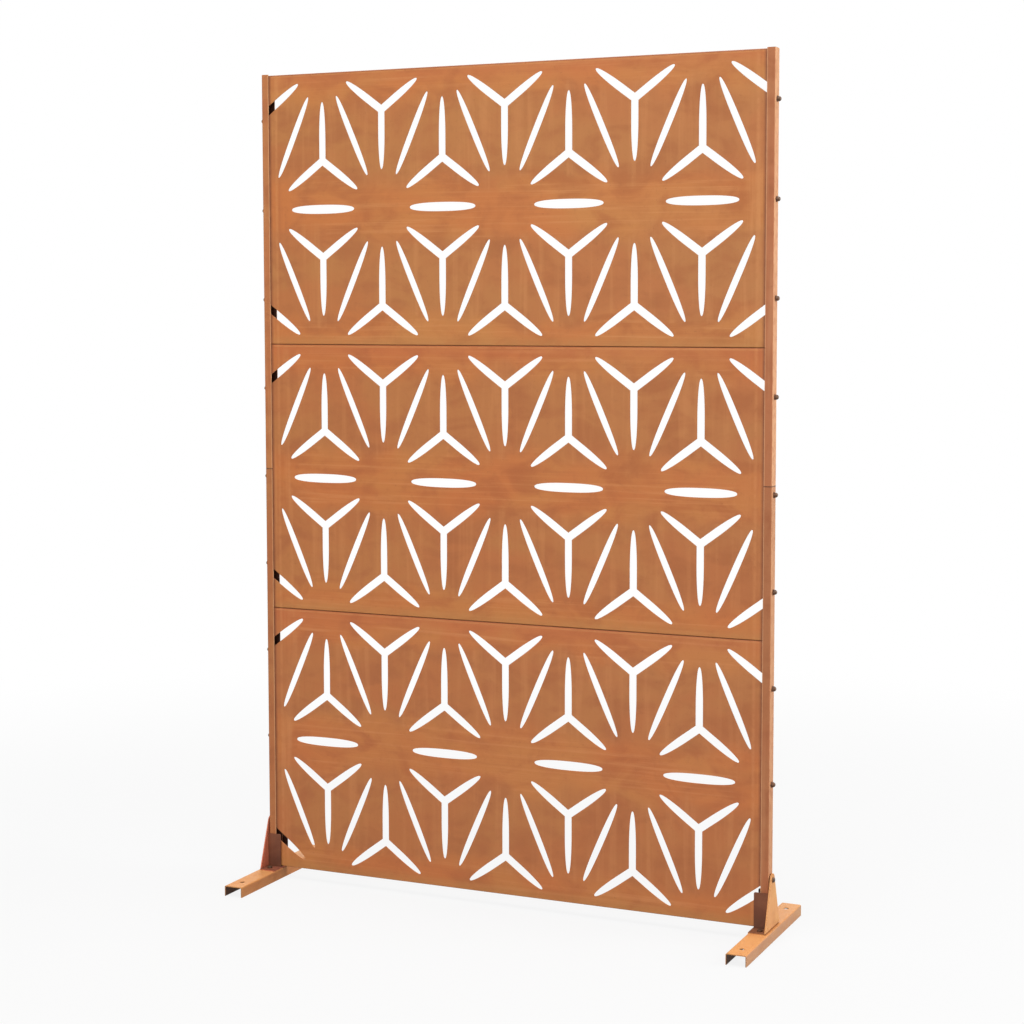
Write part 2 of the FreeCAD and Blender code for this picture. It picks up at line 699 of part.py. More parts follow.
def hex_nut(name):
    """Make a plain hexagon nut."""
    solid = prism(f"{name}_hexagon", HEX_SIDES, HEX_CORNER, "sizes.nut_height")
    return with_bore(name, solid, "sizes.nut_bore", "sizes.nut_height + sizes.overrun")


def dome_nut(name):
    """Make a low cap nut: a hexagon with a dome over a blind bore."""
    hexagon = prism(f"{name}_hexagon", HEX_SIDES, HEX_CORNER, "sizes.dome_hex_height")
    cap = dome(f"{name}_cap", "sizes.dome_diameter", "sizes.dome_hex_height",
               "(sizes.dome_nut_height - sizes.dome_hex_height)")
    solid = combine("Part::Fuse", f"{name}_solid", hexagon, cap)
    return with_bore(name, solid, "sizes.nut_bore", "sizes.thread_engagement")


def washer(name):
    """Make a plain washer."""
    disc = prism(f"{name}_disc", ROUND_SIDES, "sizes.washer_diameter / 2", "sizes.washer_thickness")
    return with_bore(name, disc, "sizes.bolt_hole", "sizes.washer_thickness + sizes.overrun")


def build_fasteners():
    """Build every fastener group, and return the nodes."""
    tray_face = f"({PANEL_WIDTH} / 2 - sizes.panel_sheet)"
    side_grip = "(sizes.panel_sheet + sizes.post_sheet + sizes.washer_thickness)"
    gusset_grip = f"({GUSSET_FACE} - {tray_face})"
    base_grip = "(sizes.gusset_sheet + sizes.foot_sheet)"
    side_bolt = hex_bolt("side_bolt", f"{side_grip} + sizes.thread_engagement - sizes.bolt_end_gap")
    side_washer = washer("side_washer")
    side_nut = dome_nut("side_nut")
    gusset_bolt = button_bolt("gusset_bolt", f"{gusset_grip} + sizes.nut_height")
    base_bolt = hex_bolt("base_bolt", f"{base_grip} + sizes.nut_height")
    plain_nut = hex_nut("plain_nut")
    nodes = []
    rows = [row for row in BOLT_ROWS if row != GUSSET_ROW]
    for side, sign, outward in (("left", "-", TO_LEFT), ("right", "", TO_RIGHT)):
        stack = (("side_bolts", side_bolt, tray_face),
                 ("side_washers", side_washer, HALF_SPAN),
                 ("dome_nuts", side_nut, f"({HALF_SPAN} + sizes.washer_thickness)"))
        for name, pattern, seat in stack:
            seats = [(f"{sign}{seat}" if sign else seat, "0", bolt_row_height(row), outward) for row in rows]
            nodes.append(repeat(f"{name}_{side}", pattern, seats))
    row = bolt_row_height(GUSSET_ROW)
    nodes.append(repeat("gusset_bolts", gusset_bolt, [
        (f"-{GUSSET_FACE}", "0", row, TO_RIGHT), (GUSSET_FACE, "0", row, TO_LEFT)]))
    nodes.append(repeat("gusset_nuts", plain_nut, [
        (f"-{tray_face}", "0", row, TO_RIGHT), (tray_face, "0", row, TO_LEFT)]))
    corners = [(f"{x}{FOOT_CENTRE}" if x else FOOT_CENTRE, f"{y} * sizes.base_bolt_spacing / 2")
               for x in ("-", "") for y in (-1, 1)]
    nodes.append(repeat("base_bolts", base_bolt, [(x, y, POST_BASE, DOWNWARDS) for x, y in corners]))
    under = "sizes.foot_height - sizes.foot_sheet"
    nodes.append(repeat("base_nuts", plain_nut, [(x, y, under, DOWNWARDS) for x, y in corners]))
    return nodes


def build_screen():
    """Build every node of the screen."""
    panel = build_panel()
    nodes = []
    for level, name in enumerate(PANEL_NAMES):
        middle = f"{PANEL_BASE} + {level} * {PANEL_PITCH} + sizes.panel_height / 2"
        nodes.append(repeat(name, panel, [("0", PANEL_FRONT, middle, UPWARDS)]))
    joint_low = f"({SPLICE_HEIGHT} - sizes.splice_gap / 2)"
    joint_high = f"({SPLICE_HEIGHT} + sizes.splice_gap / 2)"
    sides = (
        ("post_{}_lower", build_post("post_lower", POST_BASE, joint_low, BOLT_ROWS[:MIDDLE_ROW + 1]),
         HALF_SPAN, POST_BASE),
        ("post_{}_upper", build_post("post_upper", joint_high, POST_TOP, BOLT_ROWS[MIDDLE_ROW + 1:]),
         HALF_SPAN, joint_high),
        ("foot_{}", build_foot(), FOOT_CENTRE, "0"),
        ("gusset_{}", build_gusset(), GUSSET_FACE, "sizes.foot_height"),
        ("shoe_{}", build_shoe(), SHOE_BACK, POST_BASE),
    )
    for name, pattern, distance, height in sides:
        nodes.append(repeat(name.format("left"), pattern, [(f"-{distance}", "0", height, HALF_TURN)]))
        nodes.append(repeat(name.format("right"), pattern, [(distance, "0", height, UPWARDS)]))
    return nodes + build_fasteners()


nodes = build_screen()
doc.recompute()

for item in doc.Objects:
    if {"Invalid", "Error"} & set(item.State):
        raise RuntimeError(f"{item.Name} failed: {item.State}")
for node in nodes:
    if node.Shape.isNull() or not node.Shape.isValid():
        raise RuntimeError(f"{node.Label} has no valid shape")

os.makedirs("parts", exist_ok=True)
for node in nodes:
    node.Shape.exportStep(f"parts/{node.Label}.step")
    print(node.Label, len(node.Shape.Solids), "solids", round(node.Shape.Volume), "mm3")
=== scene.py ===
"""Looks of a free-standing weathering-steel screen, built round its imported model."""

import logging
import math
from dataclasses import dataclass, fields
from enum import Enum
from typing import Any, Callable, Dict, List, Mapping, Optional, Sequence, Tuple, Union

import bmesh
import bpy
from mathutils import Matrix, Vector


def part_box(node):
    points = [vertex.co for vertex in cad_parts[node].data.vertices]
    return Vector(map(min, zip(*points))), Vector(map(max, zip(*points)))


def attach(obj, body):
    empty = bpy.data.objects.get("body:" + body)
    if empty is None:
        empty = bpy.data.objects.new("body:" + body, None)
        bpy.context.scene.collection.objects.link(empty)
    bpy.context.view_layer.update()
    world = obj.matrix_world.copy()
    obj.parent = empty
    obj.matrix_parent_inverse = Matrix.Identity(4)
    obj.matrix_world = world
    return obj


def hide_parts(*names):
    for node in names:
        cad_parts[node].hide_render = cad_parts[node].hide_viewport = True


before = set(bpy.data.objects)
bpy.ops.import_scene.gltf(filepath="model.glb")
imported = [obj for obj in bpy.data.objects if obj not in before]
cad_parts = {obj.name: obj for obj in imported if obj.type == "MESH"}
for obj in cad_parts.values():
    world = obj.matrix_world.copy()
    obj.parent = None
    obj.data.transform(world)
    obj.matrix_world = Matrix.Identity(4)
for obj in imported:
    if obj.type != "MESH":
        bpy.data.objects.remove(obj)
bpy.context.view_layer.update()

LOG = logging.getLogger("screen")
BODY = "root"

Colour = Tuple[float, float, float]
Point = Tuple[float, float, float]
Spot = Tuple[float, float]
Limits = Tuple[float, float]
Outline = List[Spot]
Number = Union["Scalar", float]
Parts = Tuple["Scalar", "Scalar", "Scalar"]
Material = bpy.types.Material
Shape = bmesh.types.BMesh
Socket = bpy.types.NodeSocket


class Side(Enum):
    """The two ends of the screen, by the sign of X."""

    LEFT = -1
    RIGHT = 1

    @property
    def word(self) -> str:
        """The side's name as the nodes spell it."""
        return self.name.lower()


class Axis(Enum):
    """The axes of the frame, by their index in a point."""

    X = 0
    Y = 1
    Z = 2


class Streaks(Enum):
    """Which way the rolled and rain-washed streaks run on a sheet, by how closely they lie along X, Y and Z.

    Level streaks turn upright between a panel's plain rows and near its side folds.
    """

    LEVEL = (2.2, 2.2, 96.0)
    UPRIGHT = (46.0, 46.0, 2.4)
    LENGTHWISE = (70.0, 5.0, 70.0)


@dataclass(frozen=True)
class Pattern:
    """A noise pattern: features per metre, octaves, how strong the finer ones are and how far it swirls."""

    scale: float
    detail: float
    roughness: float = 0.5
    distortion: float = 0.0


ZONES = Pattern(3.2, 3.0, 0.5, 0.6)
CLOUDS = Pattern(10.0, 5.0, 0.55, 0.7)
ROW_BORDER = Pattern(9.0, 2.0)
UPRIGHT_STREAKS = Pattern(1.0, 4.0, 0.55, 0.3)
LEVEL_STREAKS = Pattern(1.0, 5.0, 0.65, 0.25)
FOOT_STREAKS = Pattern(1.0, 4.0, 0.6, 0.2)
RUST_SCALE = Pattern(64.0, 4.0, 0.62, 0.3)
FLECKS = Pattern(190.0, 2.0, 0.6)
GRAIN = Pattern(720.0, 3.0, 0.65)
RUST_BLOOM = Pattern(130.0, 4.0, 0.6, 0.5)
TOOL_MARKS = Pattern(1500.0, 2.0, 0.6)
FLOOR_MOTTLE = Pattern(3.0, 2.0)
EVEN: Point = (1.0, 1.0, 1.0)
FLATTENED: Point = (1.0, 1.0, 1.7)
WHITE: Colour = (1.0, 1.0, 1.0)
SMOOTH_ANGLE = math.radians(32.0)
NOISE_MEAN = 0.5
MERGE = 1e-6


class Scalar:
    """A number socket of a graph, on which plain arithmetic adds Math nodes."""

    def __init__(self, graph: "Graph", socket: Socket) -> None:
        """Keep the graph and the socket."""
        self.graph = graph
        self.socket = socket

    def __add__(self, other: Number) -> "Scalar":
        """Return self + other."""
        return self.graph.math("ADD", self, other)

    __radd__ = __add__

    def __sub__(self, other: Number) -> "Scalar":
        """Return self - other."""
        return self.graph.math("SUBTRACT", self, other)

    def __rsub__(self, other: Number) -> "Scalar":
        """Return other - self."""
        return self.graph.math("SUBTRACT", other, self)

    def __mul__(self, other: Number) -> "Scalar":
        """Return self * other."""
        return self.graph.math("MULTIPLY", self, other)

    __rmul__ = __mul__

    def __abs__(self) -> "Scalar":
        """Return the absolute value."""
        return self.graph.math("ABSOLUTE", self)

    def least(self, other: Number) -> "Scalar":
        """Return the smaller of self and other."""
        return self.graph.math("MINIMUM", self, other)

    def ramp(self, low: float, high: float) -> "Scalar":
        """Return a smooth rise from 0 at low to 1 at high."""
        node = self.graph.node("ShaderNodeMapRange", {"interpolation_type": "SMOOTHSTEP"},
                               {"Value": self, "From Min": low, "From Max": high})
        return Scalar(self.graph, node.outputs[0])


class Graph:
    """A node tree, with one way to add nodes and a few that use it."""

    def __init__(self, tree: bpy.types.NodeTree) -> None:
        """Empty the tree and keep it."""
        tree.nodes.clear()
        self.tree = tree

    def feed(self, socket: Socket, value: Any) -> None:
        """Link a value to a socket, or set it there.

        Args:
            socket: the input to fill.
            value: a Scalar, a socket, a colour, a vector or a number.
        """
        if isinstance(value, Scalar):
            value = value.socket
        if isinstance(value, Socket):
            self.tree.links.new(value, socket)
        elif socket.type == "RGBA" and len(value) == 3:
            socket.default_value = (*value, 1.0)
        else:
            socket.default_value = value

    def node(self, kind: str, settings: Optional[Mapping[str, Any]] = None,
             sockets: Optional[Mapping[Union[str, int], Any]] = None) -> bpy.types.Node:
        """Add a node.

        Args:
            kind: the node's type.
            settings: its own properties, set first.
            sockets: values or links for its inputs, by name or index.

        Returns:
            The new node.
        """
        made = self.tree.nodes.new(kind)
        for name, value in (settings or {}).items():
            setattr(made, name, value)
        for name, value in (sockets or {}).items():
            self.feed(made.inputs[name], value)
        return made

    def math(self, operation: str, *values: Number) -> Scalar:
        """Add a Math node on one or two numbers."""
        return Scalar(self, self.node("ShaderNodeMath", {"operation": operation},
                                      dict(enumerate(values))).outputs[0])

    def mix(self, factor: Number, first: Any, second: Any) -> Socket:
        """Return a blend of two colours: the first at a factor of 0, the second at 1."""
        return self.node("ShaderNodeMix", {"data_type": "RGBA", "clamp_factor": True},
                         {0: factor, 6: first, 7: second}).outputs[2]

    def place(self) -> Socket:
        """Return the point on the piece, in the frame's metres."""
        return self.node("ShaderNodeTexCoord").outputs["Object"]

    def parts(self, where: Socket) -> Parts:
        """Split a point into its X, Y and Z."""
        split = self.node("ShaderNodeSeparateXYZ", None, {0: where})
        return tuple(Scalar(self, socket) for socket in split.outputs)

    def stretch(self, where: Socket, scale: Point, offset: Point) -> Socket:
        """Scale and shift a point, so that a pattern on it is drawn out along an axis."""
        return self.node("ShaderNodeMapping", {"vector_type": "POINT"},
                         {"Vector": where, "Scale": scale, "Location": offset}).outputs[0]

    def noise(self, where: Socket, pattern: Pattern) -> Scalar:
        """Add a noise pattern.

        Args:
            where: the point to read it at.
            pattern: its scale, detail, roughness and distortion.

        Returns:
            The noise, about 0.5 on average.
        """
        sockets = {field.name.capitalize(): getattr(pattern, field.name) for field in fields(pattern)}
        made = self.node("ShaderNodeTexNoise", {"noise_dimensions": "3D"}, {"Vector": where, **sockets})
        return Scalar(self, made.outputs[0])

    def bump(self, height: Scalar, strength: float, distance: float) -> Socket:
        """Turn a height pattern into a surface direction."""
        return self.node("ShaderNodeBump", None, {"Strength": strength, "Distance": distance,
                                                  "Height": height}).outputs[0]

    def end(self, kind: str, sockets: Mapping[Union[str, int], Any],
            output: str = "ShaderNodeOutputMaterial") -> None:
        """Add the tree's last shader and its output."""
        shader = self.node(kind, None, sockets)
        self.node(output, None, {"Surface": shader.outputs[0]})


def new_material(name: str) -> Tuple[Material, Graph]:
    """Make an empty node material.

    Args:
        name: the material's name.

    Returns:
        The material and its graph.
    """
    material = bpy.data.materials.new(name)
    material.use_nodes = True
    return material, Graph(material.node_tree)


@dataclass(frozen=True)
class Rust:
    """The tones of one batch of rusted steel."""

    ochre: Colour
    orange: Colour
    brown: Colour
    pale: Colour
    dark: Colour

    def shaded(self, share: float) -> "Rust":
        """Return the same batch, darker by a share."""
        return Rust(*(tuple(part * share for part in getattr(self, field.name)) for field in fields(self)))


TOP_RUST = Rust((0.476, 0.184, 0.049), (0.481, 0.156, 0.042), (0.378, 0.120, 0.038),
                (0.562, 0.240, 0.081), (0.180, 0.055, 0.022))
MIDDLE_RUST = Rust((0.468, 0.168, 0.044), (0.473, 0.142, 0.038), (0.371, 0.110, 0.035),
                   (0.552, 0.222, 0.074), (0.180, 0.055, 0.022))
BOTTOM_RUST = Rust((0.464, 0.167, 0.047), (0.469, 0.142, 0.040), (0.368, 0.110, 0.037),
                   (0.549, 0.220, 0.079), (0.180, 0.055, 0.022))
LEFT_POST_RUST = Rust((0.440, 0.170, 0.056), (0.425, 0.142, 0.047), (0.360, 0.118, 0.042),
                      (0.520, 0.240, 0.100), (0.170, 0.055, 0.026))
RIGHT_POST_RUST = Rust((0.390, 0.142, 0.052), (0.385, 0.122, 0.044), (0.325, 0.104, 0.040),
                       (0.480, 0.215, 0.095), (0.160, 0.052, 0.026))
FOOT_RUST = Rust((0.520, 0.235, 0.072), (0.500, 0.190, 0.062), (0.420, 0.155, 0.055),
                 (0.620, 0.310, 0.120), (0.190, 0.070, 0.030))
# Lit and shaded copies of the gussets' rust: golden for the lit right gusset, redder for the shaded left one.
LIT_GOLD_RUST = Rust((0.630, 0.322, 0.103), (0.605, 0.264, 0.089), (0.508, 0.215, 0.077),
                 (0.730, 0.418, 0.163), (0.190, 0.070, 0.030))
SHADED_RED_RUST = Rust((0.560, 0.160, 0.083), (0.525, 0.139, 0.074), (0.440, 0.116, 0.067),
                (0.640, 0.220, 0.125), (0.180, 0.055, 0.035))
SHOE_RUST = Rust((0.190, 0.066, 0.028), (0.170, 0.053, 0.025), (0.138, 0.043, 0.021),
                 (0.250, 0.098, 0.046), (0.065, 0.023, 0.012))
# Painted highlight, with some edge wear: lightens the posts' edges and outer side faces.
EDGE_HIGHLIGHT_AND_WEAR: Colour = (0.640, 0.340, 0.170)
# Painted light: a sunlit tone on the feet's top faces.
PAINTED_TOP_LIGHT: Colour = (0.590, 0.280, 0.092)
# Painted sheen: a paler, greyer tone on the feet's outer side faces.
PAINTED_SIDE_SHEEN: Colour = (0.400, 0.240, 0.150)
OLIVE_TAN: Colour = (0.420, 0.185, 0.055)
BRICK_RED: Colour = (0.430, 0.112, 0.040)
DULL_BROWN: Colour = (0.305, 0.119, 0.045)
# Painted shade inside channels, flanges and folds; also the dark line at the posts' joints.
SHADE_AND_GRIME: Colour = (0.030, 0.013, 0.010)


@dataclass(frozen=True)
class Band:
    """A strip of another tone along a line on a piece, such as edge wear, a dark joint, a painted highlight
    or painted shade.

    A line across X is taken on both sides of the screen. A band may keep below a limit on
    another axis, so that it stays on an inner face.
    """

    axis: Axis
    at: float
    reach: float
    tone: Colour
    share: float
    ragged: float = 0.6
    below: Optional[Tuple[Axis, float]] = None
    limit_border: float = 0.0005

    @staticmethod
    def _along(axis: Axis, point: Parts) -> Scalar:
        """Return the place along an axis, the same on both sides of the screen."""
        return abs(point[axis.value]) if axis is Axis.X else point[axis.value]

    def mask(self, point: Parts, breaks: Scalar) -> Scalar:
        """Return how much of the band's tone shows.

        Args:
            point: the X, Y and Z of the place.
            breaks: a pattern, 0 to 1, that breaks the band up.

        Returns:
            The share, 0 away from the line.
        """
        near = 1.0 - abs(self._along(self.axis, point) - self.at).ramp(0.0, self.reach)
        if self.below is not None:
            axis, limit = self.below
            near = near * (1.0 - self._along(axis, point).ramp(limit - self.limit_border, limit))
        return near * (self.share * (1.0 - self.ragged) + self.share * self.ragged * breaks)


@dataclass(frozen=True)
class Corten:
    """Weathering steel under a settled coat of rust, with soft zones, streaks, flecks and pits.

    Limits are the values of a pattern between which its tone comes in.
    """

    name: str
    rust: Rust
    streaks: Streaks
    offset: Point
    bands: Tuple[Band, ...] = ()
    rows: Tuple[float, ...] = ()
    row_reach: float = 0.085
    row_core: float = 0.4
    row_wander: float = 0.12
    side_start: float = 0.49
    side_end: float = 0.55
    cloud_share: float = 0.75
    streak_share: float = 0.50
    streak_share_between_rows: float = 0.28
    streak_gain_in_rows: float = 0.30
    dull_share_between_rows: float = 0.35
    scale_share: float = 0.10
    fleck_share: float = 0.25
    zone_limits: Limits = (0.38, 0.62)
    cloud_limits: Limits = (0.42, 0.70)
    pale_limits: Limits = (0.48, 0.72)
    brown_limits: Limits = (0.54, 0.74)
    scale_limits: Limits = (0.52, 0.76)
    fleck_limits: Limits = (0.64, 0.80)
    break_limits: Limits = (0.36, 0.58)
    roughness: float = 0.50
    cloud_roughness: float = 0.14
    grain_roughness: float = 0.14
    specular: float = 0.3
    grain_height: float = 0.5
    scale_height: float = 0.7
    fleck_depth: float = 0.5
    bump_strength: float = 0.30
    bump_depth: float = 0.0012

    def _row_share(self, graph: Graph, where: Socket, point: Parts) -> Scalar:
        """Find the plain rows between the cut-outs of a panel.

        Args:
            graph: the material's graph.
            where: the point on the piece.
            point: its X, Y and Z.

        Returns:
            1 in the rows and 0 away from them, with a wandering border.
        """
        nearest = abs(point[2] - self.rows[0])
        for row in self.rows[1:]:
            nearest = nearest.least(abs(point[2] - row))
        wander = graph.noise(graph.stretch(where, EVEN, self.offset), ROW_BORDER) - NOISE_MEAN
        return 1.0 - (nearest + self.row_wander * wander).ramp(self.row_reach * self.row_core, self.row_reach)

    def _streaks(self, graph: Graph, where: Socket, across: Scalar, row: Optional[Scalar]) -> Scalar:
        """Find the streaks, which on a panel run level only in its plain rows.

        Args:
            graph: the material's graph.
            where: the point on the piece.
            across: its X.
            row: the share of a panel's plain rows.

        Returns:
            The pattern, about 0.5 on average.
        """
        if self.streaks is Streaks.LENGTHWISE:
            return graph.noise(graph.stretch(where, self.streaks.value, self.offset), FOOT_STREAKS)
        upright = graph.noise(graph.stretch(where, Streaks.UPRIGHT.value, self.offset), UPRIGHT_STREAKS)
        if self.streaks is Streaks.UPRIGHT:
            return upright
        level = graph.noise(graph.stretch(where, self.streaks.value, self.offset), LEVEL_STREAKS)
        share = row * (1.0 - abs(across).ramp(self.side_start, self.side_end))
        return level * share + upright * (1.0 - share)

    def material(self) -> Material:
        """Build the finish.

        Returns:
            The material.
        """
        material, graph = new_material(self.name)
        plain = graph.place()
        point = graph.parts(plain)
        where = graph.stretch(plain, EVEN, self.offset)
        flat = graph.stretch(plain, FLATTENED, self.offset)
        zone = graph.noise(flat, ZONES).ramp(*self.zone_limits)
        cloud = graph.noise(flat, CLOUDS).ramp(*self.cloud_limits)
        row = self._row_share(graph, plain, point) if self.rows else None
        streak = self._streaks(graph, plain, point[0], row)
        scale = graph.noise(where, RUST_SCALE)
        fleck = graph.noise(where, FLECKS).ramp(*self.fleck_limits)
        grain = graph.noise(where, GRAIN)
        colour = graph.mix(zone, self.rust.ochre, self.rust.orange)
        colour = graph.mix(cloud * self.cloud_share, colour, self.rust.brown)
        vivid: Number = self.streak_share
        if row is not None:
            vivid = self.streak_share_between_rows + self.streak_gain_in_rows * row
            colour = graph.mix((1.0 - row) * self.dull_share_between_rows, colour, DULL_BROWN)
        colour = graph.mix(streak.ramp(*self.pale_limits) * vivid, colour, self.rust.pale)
        colour = graph.mix((1.0 - streak).ramp(*self.brown_limits) * vivid, colour, self.rust.brown)
        colour = graph.mix(scale.ramp(*self.scale_limits) * self.scale_share, colour, self.rust.dark)
        colour = graph.mix(fleck * self.fleck_share, colour, self.rust.dark)
        breaks = scale.ramp(*self.break_limits)
        for band in self.bands:
            colour = graph.mix(band.mask(point, breaks), colour, band.tone)
        rough = self.roughness + self.cloud_roughness * cloud + self.grain_roughness * grain
        height = self.grain_height * grain + self.scale_height * scale - self.fleck_depth * fleck
        graph.end("ShaderNodeBsdfPrincipled", {
            "Base Color": colour, "Roughness": rough, "Metallic": 0.0, "Specular IOR Level": self.specular,
            "Normal": graph.bump(height, self.bump_strength, self.bump_depth)})
        return material


@dataclass(frozen=True)
class FastenerSteel:
    """Dull fastener steel with a soft bloom of rust and fine tool marks."""

    name: str
    steel: Colour
    bloom: Colour
    bloom_share: float
    metallic: float
    roughness: float
    bloom_limits: Limits = (0.44, 0.66)
    bloom_roughness: float = 0.2
    mark_roughness: float = 0.1
    bump_strength: float = 0.2
    bump_depth: float = 0.0003

    def material(self) -> Material:
        """Build the finish.

        Returns:
            The material.
        """
        material, graph = new_material(self.name)
        where = graph.place()
        bloom = graph.noise(where, RUST_BLOOM).ramp(*self.bloom_limits)
        marks = graph.noise(where, TOOL_MARKS)
        colour = graph.mix(bloom * self.bloom_share, self.steel, self.bloom)
        rough = self.roughness + self.bloom_roughness * bloom + self.mark_roughness * (marks - NOISE_MEAN)
        graph.end("ShaderNodeBsdfPrincipled", {
            "Base Color": colour, "Roughness": rough, "Metallic": self.metallic,
            "Normal": graph.bump(marks + bloom, self.bump_strength, self.bump_depth)})
        return material


DARK_STEEL = FastenerSteel("dark_steel", (0.090, 0.050, 0.030), (0.180, 0.064, 0.025), 0.5, 0.50, 0.42)
BROWN_STEEL = FastenerSteel("brown_steel", (0.120, 0.055, 0.032), (0.230, 0.085, 0.032), 0.7, 0.25, 0.52)


def dress(obj: bpy.types.Object, material: Material) -> None:
    """Give an object one material.

    Args:
        obj: a CAD node or a new piece.
        material: its finish.
    """
    if obj.data.materials:
        for index in range(len(obj.data.materials)):
            obj.data.materials[index] = material
    else:
        obj.data.materials.append(material)
    LOG.info("%s: %s", obj.name, material.name)


def rust_node(name: str, rust: Rust, streaks: Streaks, offset: Point, bands: Tuple[Band, ...]) -> None:
    """Give a CAD node its own coat of rust."""
    dress(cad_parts[name], Corten(f"corten_{name}", rust, streaks, offset, bands).material())


def shade_smooth(shape: Shape) -> None:
    """Shade the rounds of a shape smoothly, with its arrises sharp.

    Args:
        shape: the shape to shade.
    """
    for face in shape.faces:
        face.smooth = True
    for edge in shape.edges:
        edge.smooth = edge.calc_face_angle(0.0) < SMOOTH_ANGLE


def span(name: str) -> Tuple[float, float]:
    """Return how near to the middle of the screen's width a node comes, and how far from it."""
    inner, outer = sorted(abs(corner.x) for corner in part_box(name))
    return inner, outer


def add_piece(name: str, shape: Shape, material: Material, node: str) -> None:
    """Make a finished shape a piece that stands for a node.

    Args:
        name: the piece's name.
        shape: its shape, which is used up.
        material: its finish.
        node: the CAD node that it stands for.
    """
    mesh = bpy.data.meshes.new(name)
    shape.to_mesh(mesh)
    shape.free()
    piece = bpy.data.objects.new(name, mesh)
    bpy.context.scene.collection.objects.link(piece)
    dress(piece, material)
    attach(piece, BODY)
    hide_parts(node)


